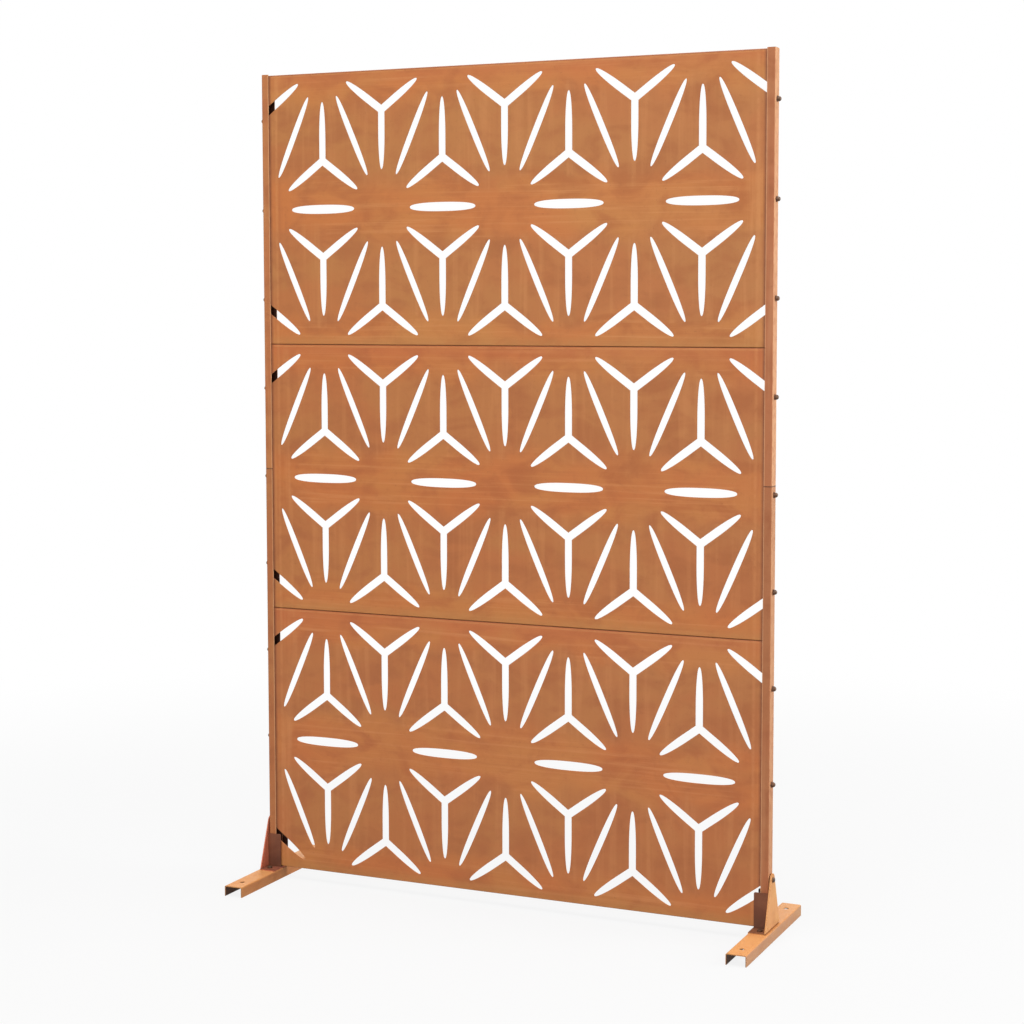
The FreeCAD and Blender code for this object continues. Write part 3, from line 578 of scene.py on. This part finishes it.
@dataclass(frozen=True)
class Lattice:
    """The leaf lattice of a panel: round-nosed cut-outs, laid out from the middle of its face.

    The lattice is made of triangles, with a row of corners at mid-height and one past each end.
    Spindles lie on the sides of the triangles, and three-armed cut-outs at their middles. A land
    is the metal left between a tip and a corner of the lattice.
    """

    width: float
    height: float
    bays: int = 4
    side_margin: float = 0.0039
    end_overlap: float = 0.0200
    level_width: float = 0.0194
    level_land: float = 0.06765
    steep_width: float = 0.0141
    steep_land: float = 0.0793
    steep_lean_share: float = 0.945
    upright_width: float = 0.0160
    upright_land: float = 0.0830
    side_width: float = 0.0168
    side_land: float = 0.05985
    end_land: float = 0.0421
    edge_land: float = 0.0095
    belly_share: float = 0.38
    spindle_fullness: float = 2.4
    arm_fullness: float = 1.8
    nose_power: float = 0.42
    steps: int = 14

    @property
    def pitch(self) -> float:
        """The length of the triangles' level sides."""
        return (self.width - 2 * self.side_margin) / self.bays

    @property
    def rise(self) -> float:
        """The height of the triangles."""
        return self.height / 2 + self.end_overlap

    @property
    def side_arm(self) -> Spot:
        """How far a side arm reaches across and down."""
        return self.pitch / 2 - self.side_land, self.rise / 3 - self.end_land

    @property
    def side_slope(self) -> float:
        """The angle between a side arm and the level."""
        return math.atan2(self.side_arm[1], self.side_arm[0])

    @staticmethod
    def _turned(points: Sequence[Spot], place: Spot, angle: float) -> Outline:
        """Return points along and aside of an axis that leaves a place at an angle."""
        cosine, sine = math.cos(angle), math.sin(angle)
        return [(place[0] + along * cosine - aside * sine, place[1] + along * sine + aside * cosine)
                for along, aside in points]

    def _half_width(self, share: float, width: float, fullness: float) -> float:
        """Return half a cut-out's width at a share of the way from its belly to its tip."""
        return width / 2 * (1.0 - share ** fullness) ** self.nose_power

    def spindle(self, place: Spot, angle: float, length: float, width: float) -> Outline:
        """Outline a spindle.

        Args:
            place: its middle.
            angle: the way that it points.
            length: from tip to tip.
            width: across its belly.

        Returns:
            Its points, once round.
        """
        side = []
        for step in range(2 * self.steps):
            along = -math.cos(math.pi * step / (2 * self.steps))
            side.append((along * length / 2, self._half_width(abs(along), width, self.spindle_fullness)))
        return self._turned(side + [(-along, -aside) for along, aside in side], place, angle)

    def arm(self, place: Spot, angle: float, length: float, width: float) -> Outline:
        """Outline an arm from the right side of its belly round its tip to the left side.

        Args:
            place: where its axis starts.
            angle: the way that it points.
            length: from there to its tip.
            width: across its belly.

        Returns:
            Its points.
        """
        belly = self.belly_share * length
        side = []
        for step in range(self.steps + 1):
            share = math.sin(math.pi / 2 * step / self.steps)
            along = belly + share * (length - belly)
            side.append((along, -self._half_width(share, width, self.arm_fullness)))
        return self._turned(side + [(along, -aside) for along, aside in side[-2::-1]], place, angle)

    def three_arms(self, place: Spot, upright: int) -> Outline:
        """Outline a three-armed cut-out.

        Args:
            place: where the arms meet.
            upright: 1 if its upright arm points up, or -1.

        Returns:
            Its points, once round.
        """
        slope = self.side_slope
        reach = math.hypot(*self.side_arm)
        arms = [(upright * math.pi / 2, self.rise * 2 / 3 - self.upright_land, self.upright_width),
                (-upright * slope, reach, self.side_width),
                (math.pi + upright * slope, reach, self.side_width)]
        arms.sort(key=lambda arm: arm[0] % math.tau)
        points = []
        for (angle, length, width), (turn, _, other) in zip(arms, arms[1:] + arms[:1]):
            points += self.arm(place, angle, length, width)
            spread = 2 * math.sin(turn - angle)
            points.append((place[0] + (width * math.cos(turn) + other * math.cos(angle)) / spread,
                           place[1] + (width * math.sin(turn) + other * math.sin(angle)) / spread))
        return points

    def cut_off_arm(self, place: Spot, angle: float, end: float) -> Outline:
        """Outline a side arm that stops at an upright line beside the panel's side fold.

        Args:
            place: where its axis starts, past the line.
            angle: the way that it points.
            end: the line's place across the panel.

        Returns:
            Its points, once round.
        """
        points = self.arm(place, angle, math.hypot(*self.side_arm), self.side_width)
        for side in (1, -1):
            climb = side * self.side_width / 2 + (end - place[0]) * math.sin(angle)
            points.append((end, place[1] + climb / math.cos(angle)))
        return points

    def outlines(self) -> List[Outline]:
        """Lay the cut-outs out.

        Returns:
            The outline of each, across and up from the middle of the panel.
        """
        pitch, rise = self.pitch, self.rise
        lean = math.atan(self.steep_lean_share * pitch / 2 / rise)
        steep_length = math.hypot(pitch / 2, rise) - 2 * self.steep_land
        found = []
        for bay in range(self.bays):
            middle = (bay + 0.5 - self.bays / 2) * pitch
            found.append(self.spindle((middle, 0.0), 0.0, pitch - 2 * self.level_land, self.level_width))
            for half in (1, -1):
                for side in (1, -1):
                    place = (middle + side * pitch / 4, half * rise / 2)
                    turn = math.pi / 2 + half * side * lean
                    found.append(self.spindle(place, turn, steep_length, self.steep_width))
                found.append(self.three_arms((middle, half * rise / 3), half))
        for half in (1, -1):
            up = half * rise * 2 / 3
            for corner in range(1, self.bays):
                found.append(self.three_arms(((corner - self.bays / 2) * pitch, up), -half))
            for side in (1, -1):
                angle = math.pi - half * self.side_slope if side > 0 else half * self.side_slope
                found.append(self.cut_off_arm((side * self.bays / 2 * pitch, up), angle,
                                              side * (self.width / 2 - self.edge_land)))
        return found


@dataclass
class Panels:
    """The three pierced trays between the posts."""

    names: Tuple[str, ...] = ("panel_top", "panel_middle", "panel_bottom")
    sheet: float = 0.0015
    near: float = 1e-5
    bolt_shares: Tuple[float, ...] = (1 / 6, 1 / 2, 5 / 6)
    rusts: Tuple[Rust, ...] = (TOP_RUST, MIDDLE_RUST, BOTTOM_RUST)
    offsets: Tuple[Point, ...] = ((3.1, 0.0, 1.7), (7.4, 0.0, 5.2), (12.9, 0.0, 9.6))
    # Painted shade: how far the dark line along each tray's top fold reaches.
    top_grime: Tuple[float, ...] = (0.0045, 0.0026, 0.0026)

    def _pierced(self, name: str) -> Shape:
        """Model a tray with smooth cut-outs: the node's folds, with a new face pierced by the lattice.

        Args:
            name: the tray's node.

        Returns:
            The shape, closed all round.
        """
        low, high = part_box(name)
        shape = bmesh.new()
        shape.from_mesh(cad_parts[name].data)
        bmesh.ops.remove_doubles(shape, verts=shape.verts[:], dist=MERGE)
        front, back = low.y, low.y + self.sheet

        def lies(item: Union[bmesh.types.BMFace, bmesh.types.BMEdge], *levels: float) -> bool:
            """Say whether every corner lies on one of the levels of Y."""
            return all(min(abs(vert.co.y - level) for level in levels) < self.near for vert in item.verts)

        old_face = [face for face in shape.faces if lies(face, front, back)]
        bmesh.ops.delete(shape, geom=old_face, context="FACES")
        open_edges = [edge for edge in shape.edges if edge.is_boundary]
        front_edges = [edge for edge in open_edges if lies(edge, front)]
        back_edges = [edge for edge in open_edges if lies(edge, back)]
        middle = (low + high) / 2
        outlines = Lattice(high.x - low.x, high.z - low.z).outlines()
        for outline in outlines:
            corners = [shape.verts.new((middle.x + across, front, middle.z + up)) for across, up in outline]
            loop = [shape.edges.new(pair) for pair in zip(corners, corners[1:] + corners[:1])]
            wall = bmesh.ops.extrude_edge_only(shape, edges=loop)["geom"]
            far = [item for item in wall if isinstance(item, bmesh.types.BMVert)]
            bmesh.ops.translate(shape, verts=far, vec=(0.0, self.sheet, 0.0))
            front_edges += loop
            back_edges += [item for item in wall if isinstance(item, bmesh.types.BMEdge) and lies(item, back)]
        for edges, facing in ((front_edges, -1.0), (back_edges, 1.0)):
            bmesh.ops.triangle_fill(shape, use_beauty=True, edges=edges, normal=(0.0, facing, 0.0))
        bmesh.ops.recalc_face_normals(shape, faces=shape.faces[:])
        shade_smooth(shape)
        for face in shape.faces:
            face.smooth = not (lies(face, front) or lies(face, back))
        loose = sum(not edge.is_manifold for edge in shape.edges)
        LOG.info("%s: %d cut-outs, %d faces, %d loose edges", name, len(outlines), len(shape.faces), loose)
        return shape

    def build(self) -> None:
        """Give each tray smooth cut-outs and its own sheet of rust, with tinted edges, painted shade along
        its seams, its side folds and the posts' flanges, and a painted highlight below its top fold.
        """
        flange = span("post_right_upper")[0]
        for name, rust, offset, grime in zip(self.names, self.rusts, self.offsets, self.top_grime):
            low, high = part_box(name)
            bands = (
                Band(Axis.Z, low.z, 0.030, OLIVE_TAN, 0.60, 0.3),
                Band(Axis.Z, high.z, 0.045, BRICK_RED, 0.35, 0.3),
                # Painted highlight, with some wear: a pale line just below the top fold.
                Band(Axis.Z, high.z - 0.004, 0.003, rust.pale, 0.55),
                # Painted shade: a dark line along the seam at the bottom edge.
                Band(Axis.Z, low.z, 0.0016, rust.dark, 0.85, 0.1),
                # Painted shade: a dark line along the top fold.
                Band(Axis.Z, high.z, grime, rust.dark, 0.85, 0.1),
                Band(Axis.X, flange - 0.018, 0.006, rust.pale, 0.35),
                # Painted shadow: a dark strip where the posts' front flanges lie over the face.
                Band(Axis.X, flange, 0.0085, rust.dark, 0.95, 0.15),
                # Painted shade: the side folds, seen through the end cut-outs, made dark.
                Band(Axis.X, high.x, 0.0080, SHADE_AND_GRIME, 0.95, 0.0),
            )
            rows = (low.z, (low.z + high.z) / 2, high.z)
            finish = Corten(f"corten_{name}", rust, Streaks.LEVEL, offset, bands, rows)
            add_piece(f"pierced_{name}", self._pierced(name), finish.material(), name)

    def bolt_rows(self) -> List[float]:
        """Find the bolt rows.

        Returns:
            Their heights, from the floor up.
        """
        rows = []
        for name in reversed(self.names):
            low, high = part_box(name)
            rows += [low.z + (high.z - low.z) * share for share in self.bolt_shares]
        return rows


@dataclass
class Uprights:
    """The two posts, each of a lower and an upper channel."""

    rusts: Tuple[Rust, Rust] = (LEFT_POST_RUST, RIGHT_POST_RUST)
    shades: Tuple[float, float] = (0.92, 1.0)
    # Shares of painted highlight and sheen on the outer side faces, lower and upper channels.
    outer_highlight_shares: Tuple[float, float] = (0.50, 0.75)
    sheet: float = 0.0015

    def dress(self) -> None:
        """Give each channel a slightly redder rust with upright streaks and a dark joint line, painted
        highlights with some wear along its edges and over its outer side, and painted shade inside its rear
        flange.
        """
        for index, (side, rust) in enumerate(zip(Side, self.rusts)):
            lengths = zip(("lower", "upper"), self.shades, self.outer_highlight_shares)
            for step, (level, shade, side_highlight) in enumerate(lengths):
                name = f"post_{side.word}_{level}"
                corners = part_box(name)
                joint = corners[1 - step].z
                inner, outer = span(name)
                lining = (Axis.X, outer - self.sheet)
                bands = (
                    # Painted highlight, with some wear: a bright line along the front flange's inner edge.
                    Band(Axis.X, inner, 0.0022, EDGE_HIGHLIGHT_AND_WEAR, 0.80, 0.3),
                    # Painted highlight and sheen: the outer side face and its corner lighter.
                    Band(Axis.X, outer, 0.0014, EDGE_HIGHLIGHT_AND_WEAR, side_highlight, 0.4),
                    # Painted shade: the inner face of the rear flange made dark.
                    Band(Axis.Y, corners[1].y - self.sheet, 0.0012, SHADE_AND_GRIME, 0.95, 0.0, lining),
                    Band(Axis.Z, joint, 0.0016, SHADE_AND_GRIME, 0.80, 0.1),
                )
                rust_node(name, rust.shaded(shade), Streaks.UPRIGHT,
                          (4.0 * index + 1.3, 2.0, 3.0 * step), bands)


@dataclass
class Stands:
    """The feet, with the gusset and the shoe that hold each post."""

    # A shaded copy of the gussets' rust for the left one, redder, and a lit copy for the right one, golden:
    # painted shade and light.
    gusset_rusts: Tuple[Rust, Rust] = (SHADED_RED_RUST, LIT_GOLD_RUST)
    foot_sheet: float = 0.002
    gusset_sheet: float = 0.0025
    shoe_sheet: float = 0.002

    def dress(self) -> None:
        """Give the feet a golden rust along their length, and the brackets upright streaks, with painted
        light on the foot tops, painted sheen on their outer sides and painted shade inside the feet, on the
        gusset bases and on the shoes.
        """
        for index, (side, gusset_lighting_rust) in enumerate(zip(Side, self.gusset_rusts)):
            foot = f"foot_{side.word}"
            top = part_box(foot)[1].z
            inner, outer = span(foot)
            under = top - self.foot_sheet
            bands = (
                # Painted sheen: the foot's outer side face paler and greyer.
                Band(Axis.X, outer, 0.0014, PAINTED_SIDE_SHEEN, 0.55, 0.3),
                # Painted light: the foot's top face sunlit.
                Band(Axis.Z, top, 0.0014, PAINTED_TOP_LIGHT, 0.60, 0.5),
                # Painted shade: the inner faces of the foot's flanges made dark.
                Band(Axis.X, inner + self.foot_sheet, 0.0014, SHADE_AND_GRIME, 0.85, 0.1, (Axis.Z, under)),
                Band(Axis.X, outer - self.foot_sheet, 0.0014, SHADE_AND_GRIME, 0.85, 0.1, (Axis.Z, under)),
            )
            rust_node(foot, FOOT_RUST, Streaks.LENGTHWISE, (6.0 * index, 5.0, 1.0), bands)
            # Painted shade: the top of the gusset's base plate made dark brown.
            bands = (Band(Axis.Z, top + self.gusset_sheet, 0.0016, SHOE_RUST.brown, 0.92, 0.1),)
            rust_node(f"gusset_{side.word}", gusset_lighting_rust, Streaks.UPRIGHT, (2.0 * index, 9.0, 4.0), bands)
            shoe = f"shoe_{side.word}"
            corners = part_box(shoe)
            wall = span(shoe)[1] - self.shoe_sheet
            bands = (
                # Painted shade: the shoe darker towards its foot.
                Band(Axis.Z, corners[0].z, 0.060, SHOE_RUST.dark, 0.55, 0.3),
                # Painted shade: the inner face of the shoe's rear plate made dark.
                Band(Axis.Y, corners[1].y - self.shoe_sheet, 0.0016, SHADE_AND_GRIME, 0.95, 0.0, (Axis.X, wall)),
            )
            rust_node(shoe, SHOE_RUST, Streaks.UPRIGHT, (2.0 * index, 10.0, 4.0), bands)


def turned_profile(mesh: Shape, profile: Sequence[Spot], closed: bool, steps: int) -> None:
    """Spin a profile of radius and height pairs round the Z axis.

    Args:
        mesh: the mesh to add to.
        profile: the corners of the half section.
        closed: whether the last corner joins the first, as in a ring.
        steps: how many sides the full turn has.
    """
    before = set(mesh.verts)
    corners = [mesh.verts.new((radius, 0.0, height)) for radius, height in profile]
    pairs = list(zip(corners, corners[1:]))
    if closed:
        pairs.append((corners[-1], corners[0]))
    edges = [mesh.edges.new(pair) for pair in pairs]
    bmesh.ops.spin(mesh, geom=corners + edges, cent=(0.0, 0.0, 0.0), axis=(0.0, 0.0, 1.0),
                   angle=math.tau, steps=steps, use_merge=True)
    fresh = [vert for vert in mesh.verts if vert not in before]
    bmesh.ops.remove_doubles(mesh, verts=fresh, dist=MERGE)


def hexagon_block(mesh: Shape, across_flats: float, low: float, high: float,
                  chamfer: float, trim: float = 0.3) -> None:
    """Add a hexagon prism with rounded arrises.

    Args:
        mesh: the mesh to add to.
        across_flats: the spanner size.
        low: the height of its lower face.
        high: the height of its upper face.
        chamfer: how far the arrises are rounded.
        trim: how far the corners draw in, as a share of the chamfer.
    """
    radius = across_flats / math.sqrt(3.0) - chamfer * trim
    made = bmesh.ops.create_cone(mesh, cap_ends=True, segments=6, radius1=radius, radius2=radius,
                                 depth=high - low,
                                 matrix=Matrix.Translation((0.0, 0.0, (low + high) / 2)))
    edges = {edge for vert in made["verts"] for edge in vert.link_edges}
    bmesh.ops.bevel(mesh, geom=list(edges), offset=chamfer, offset_type="OFFSET", affect="EDGES",
                    segments=2, profile=0.5, material=-1)


@dataclass(frozen=True)
class Seat:
    """A place for a fastener: where its underside sits and which way it points."""

    place: Point
    outward: Point

    def matrix(self) -> Matrix:
        """Return the turn and shift from a fastener that stands on the origin along Z."""
        turn = Vector((0.0, 0.0, 1.0)).rotation_difference(Vector(self.outward)).to_matrix().to_4x4()
        return Matrix.Translation(self.place) @ turn


@dataclass
class Fasteners:
    """Cap nuts, washers and screw heads, rounder than the model's own.

    Domes and shanks start inside their hexagons, at the sunk share of the hexagon's height.
    """

    rows: List[float]
    hexagon: float = 0.010
    bolt_radius: float = 0.003
    head_height: float = 0.0040
    nut_height: float = 0.0050
    chamfer: float = 0.0004
    sunk_share: float = 0.5
    base_reach: float = 0.033
    round_steps: int = 28
    arc_steps: int = 7

    def _dome(self, flat: float, radius: float, low: float, high: float) -> Outline:
        """Return a quarter round, from a radius at a low height up and in to a flat at a high one."""
        turns = [math.pi / 2 * step / self.arc_steps for step in range(self.arc_steps)]
        return [(flat + (radius - flat) * math.cos(turn), low + (high - low) * math.sin(turn))
                for turn in turns] + [(flat, high)]

    def cap_nut(self, mesh: Shape, height: float) -> None:
        """Add a low cap nut: a hexagon with a smooth dome.

        Args:
            mesh: the mesh to add to.
            height: the nut's whole height.
        """
        skirt, radius = 0.0035, 0.0047
        hexagon_block(mesh, self.hexagon, 0.0, skirt, self.chamfer)
        start = skirt * self.sunk_share
        profile = [(0.0, start), (radius, start)] + self._dome(0.0, radius, skirt, height)
        turned_profile(mesh, profile, False, self.round_steps)

    def washer(self, mesh: Shape, thickness: float) -> None:
        """Add a flat washer with softened rims.

        Args:
            mesh: the mesh to add to.
            thickness: the washer's thickness.
        """
        inner, outer, soft = 0.0033, 0.0060, 0.0003
        profile = [(inner, 0.0), (outer - soft, 0.0), (outer, soft), (outer, thickness - soft),
                   (outer - soft, thickness), (inner, thickness)]
        turned_profile(mesh, profile, True, self.round_steps)

    def button_bolt(self, mesh: Shape, height: float, shank: float) -> None:
        """Add a round-headed bolt with a hexagon socket.

        Args:
            mesh: the mesh to add to.
            height: the head's height.
            shank: how far the shank reaches below the head.
        """
        radius, flat, rim, socket, depth = 0.0055, 0.0030, 0.0006, 0.0021, 0.0019
        profile = [(0.0, -shank), (self.bolt_radius, -shank), (self.bolt_radius, 0.0), (radius, 0.0)]
        turned_profile(mesh, profile + self._dome(flat, radius, rim, height), False, self.round_steps)
        rim_edges = [edge for edge in mesh.edges if edge.is_boundary]
        made = bmesh.ops.create_circle(mesh, cap_ends=False, segments=6, radius=socket,
                                       matrix=Matrix.Translation((0.0, 0.0, height)))
        mouth = list({edge for vert in made["verts"] for edge in vert.link_edges})
        bmesh.ops.bridge_loops(mesh, edges=rim_edges + mouth)
        sunk = bmesh.ops.extrude_edge_only(mesh, edges=mouth)["geom"]
        floor = [item for item in sunk if isinstance(item, bmesh.types.BMVert)]
        bmesh.ops.translate(mesh, verts=floor, vec=(0.0, 0.0, -depth))
        bmesh.ops.contextual_create(mesh, geom=floor)

    def hex_bolt(self, mesh: Shape, height: float, shank: float) -> None:
        """Add a hexagon-headed bolt.

        Args:
            mesh: the mesh to add to.
            height: the head's height.
            shank: how far the shank reaches below the head.
        """
        hexagon_block(mesh, self.hexagon, 0.0, height, self.chamfer)
        radius, soft, start = self.bolt_radius, self.chamfer, height * self.sunk_share
        profile = [(0.0, -shank), (radius - soft, -shank), (radius, soft - shank),
                   (radius, start), (0.0, start)]
        turned_profile(mesh, profile, False, self.round_steps)

    @staticmethod
    def _side_seats(side: Side, reach: float, rows: Sequence[float]) -> List[Seat]:
        """Return seats that face outwards at one side of the screen, a seat on each row."""
        return [Seat((side.value * reach, 0.0, row), (side.value, 0.0, 0.0)) for row in rows]

    @staticmethod
    def _piece(name: str, node: str, slot: str, material: Material, seats: Sequence[Seat],
               model: Callable[..., None], *sizes: float) -> None:
        """Build one fastener, repeat it on its seats as one piece and put it for a node.

        Args:
            name: the piece's name.
            node: the CAD node that it stands for.
            slot: not used.
            material: its finish.
            seats: where it is repeated.
            model: the method that models one.
            *sizes: that method's sizes.
        """
        one = bmesh.new()
        model(one, *sizes)
        bmesh.ops.recalc_face_normals(one, faces=one.faces[:])
        single = bpy.data.meshes.new(f"{name}.single")
        one.to_mesh(single)
        one.free()
        group = bmesh.new()
        for seat in seats:
            start = len(group.verts)
            group.from_mesh(single)
            group.verts.ensure_lookup_table()
            bmesh.ops.transform(group, matrix=seat.matrix(), verts=group.verts[start:])
        shade_smooth(group)
        bpy.data.meshes.remove(single)
        LOG.info("%s: %d of them for %s", name, len(seats), node)
        add_piece(name, group, material, node)

    def build(self) -> None:
        """Build the visible fasteners and dress the hidden ones."""
        dark = DARK_STEEL.material()
        brown = BROWN_STEEL.material()
        kinds = (("washers", "side_washers", "brown_steel", brown, self.washer),
                 ("cap_nuts", "dome_nuts", "dark_steel", dark, self.cap_nut))
        for side in Side:
            for name, node, slot, material, model in kinds:
                inner, outer = span(f"{node}_{side.word}")
                self._piece(f"{name}_{side.word}", f"{node}_{side.word}", slot, material,
                            self._side_seats(side, inner, self.rows[1:]), model, outer - inner)
            dress(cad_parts[f"side_bolts_{side.word}"], dark)
        head = self.head_height
        tip = span("gusset_nuts")[1] - self.nut_height
        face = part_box("gusset_bolts")[1].x - head
        seats = [seat for side in Side for seat in self._side_seats(side, face, self.rows[:1])]
        self._piece("button_bolts", "gusset_bolts", "dark_steel", dark, seats,
                    self.button_bolt, head, face - tip)
        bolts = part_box("base_bolts")
        seat = bolts[1].z - head
        centre = bolts[1].x - self.hexagon / math.sqrt(3.0)
        reach = self.base_reach
        places = [(side.value * centre, y, seat) for side in Side for y in (-reach, reach)]
        self._piece("base_screws", "base_bolts", "dark_steel", dark,
                    [Seat(place, (0.0, 0.0, 1.0)) for place in places],
                    self.hex_bolt, head, seat - bolts[0].z)
        for name in ("gusset_nuts", "base_nuts"):
            dress(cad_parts[name], dark)


@dataclass(frozen=True)
class Lamp:
    """A soft studio lamp, aimed at a point."""

    name: str
    place: Point
    target: Point
    width: float
    height: float
    power: float

    def make(self) -> None:
        """Add the lamp to the scene."""
        data = bpy.data.lights.new(self.name, "AREA")
        data.shape = "RECTANGLE"
        data.size = self.width
        data.size_y = self.height
        data.energy = self.power
        lamp = bpy.data.objects.new(self.name, data)
        aim = Vector(self.target) - Vector(self.place)
        lamp.matrix_world = Matrix.Translation(self.place) @ aim.to_track_quat("-Z", "Y").to_matrix().to_4x4()
        bpy.context.scene.collection.objects.link(lamp)


@dataclass
class Studio:
    """The pale floor, the white surround and the lamps."""

    ambient: float = 0.22
    floor_radius: float = 7.0
    floor_segments: int = 96
    floor_colour: Colour = (0.45, 0.45, 0.45)
    floor_white: float = 0.86
    floor_mottle: float = 0.985
    fade_start: float = 1.2
    fade_end: float = 3.2
    lamps: Tuple[Lamp, ...] = (
        Lamp("top", (0.3, -0.8, 6.0), (0.1, -0.2, 0.0), 4.0, 4.0, 410.0),
        Lamp("side", (4.2, 0.9, 1.9), (0.55, 0.0, 0.85), 2.0, 2.6, 140.0),
        Lamp("front", (0.1, -5.0, 1.9), (0.0, 0.0, 0.9), 2.6, 2.6, 121.0),
        Lamp("back", (-1.8, 4.2, 2.6), (0.0, 0.0, 0.9), 2.6, 2.6, 70.0),
    )

    def _background(self, graph: Graph) -> Scalar:
        """Find the rays that show the surround: straight, mirrored or passed through.

        Args:
            graph: the graph to add to.

        Returns:
            1 for these rays, or else 0.
        """
        path = graph.node("ShaderNodeLightPath")
        seen = [Scalar(graph, path.outputs[name])
                for name in ("Is Camera Ray", "Is Glossy Ray", "Is Transmission Ray")]
        return (seen[0] + seen[1] + seen[2]).least(1.0)

    def surround(self) -> None:
        """Light the scene softly from all round, and show white."""
        world = bpy.data.worlds.new("surround")
        world.use_nodes = True
        bpy.context.scene.world = world
        graph = Graph(world.node_tree)
        soft = graph.node("ShaderNodeBackground", None, {"Color": WHITE, "Strength": self.ambient})
        white = graph.node("ShaderNodeBackground", None, {"Color": WHITE, "Strength": 1.0})
        graph.end("ShaderNodeMixShader", {
            0: self._background(graph), 1: soft.outputs[0], 2: white.outputs[0]}, "ShaderNodeOutputWorld")

    def floor(self) -> None:
        """Lay a round pale floor that keeps a faint shadow and fades to white."""
        mesh = bmesh.new()
        bmesh.ops.create_circle(mesh, cap_ends=True, segments=self.floor_segments, radius=self.floor_radius)
        data = bpy.data.meshes.new("floor")
        mesh.to_mesh(data)
        mesh.free()
        floor = bpy.data.objects.new("floor", data)
        bpy.context.scene.collection.objects.link(floor)
        material, graph = new_material("pale_floor")
        place = graph.place()
        distance = Scalar(graph, graph.node("ShaderNodeVectorMath", {"operation": "LENGTH"},
                                            {0: place}).outputs["Value"])
        tint = graph.mix(graph.noise(place, FLOOR_MOTTLE), self.floor_colour,
                         tuple(part * self.floor_mottle for part in self.floor_colour))
        matt = graph.node("ShaderNodeBsdfDiffuse", None, {"Color": tint})
        white = graph.node("ShaderNodeEmission", None, {"Color": WHITE, "Strength": 1.0})
        share = distance.ramp(self.fade_start, self.fade_end) * (1.0 - self.floor_white) + self.floor_white
        graph.end("ShaderNodeMixShader", {
            0: self._background(graph) * share, 1: matt.outputs[0], 2: white.outputs[0]})
        dress(floor, material)

    def build(self) -> None:
        """Set up the surround, the floor and the lamps."""
        self.surround()
        self.floor()
        for lamp in self.lamps:
            lamp.make()


@dataclass
class Viewpoint:
    """The camera, where the photographer stood: to the right of the screen, at chest height."""

    place: Point = (1.7953, -3.9366, 1.2927)
    turn: float = 24.384
    tilt: float = 4.494
    roll: float = -0.081
    focal_share: float = 1.99502
    rise: float = -0.045
    sensor: float = 36.0
    clip: Tuple[float, float] = (0.05, 100.0)

    def build(self) -> None:
        """Make the camera and take it as the scene's."""
        data = bpy.data.cameras.new("viewpoint")
        data.sensor_width = self.sensor
        data.lens = self.focal_share * self.sensor
        data.shift_y = self.rise
        data.clip_start, data.clip_end = self.clip
        camera = bpy.data.objects.new("viewpoint", data)
        camera.matrix_world = (Matrix.Translation(self.place)
                               @ Matrix.Rotation(math.radians(self.turn), 4, "Z")
                               @ Matrix.Rotation(math.radians(90.0 - self.tilt), 4, "X")
                               @ Matrix.Rotation(math.radians(self.roll), 4, "Z"))
        bpy.context.scene.collection.objects.link(camera)
        bpy.context.scene.camera = camera


def main() -> None:
    """Dress the screen, build its fasteners and set up the studio."""
    logging.basicConfig(level=logging.INFO, format="%(name)s: %(message)s")
    bpy.context.scene.view_settings.view_transform = "Standard"
    panels = Panels()
    panels.build()
    Uprights().dress()
    Stands().dress()
    Fasteners(panels.bolt_rows()).build()
    Studio().build()
    Viewpoint().build()


if __name__ == "__main__":
    main()
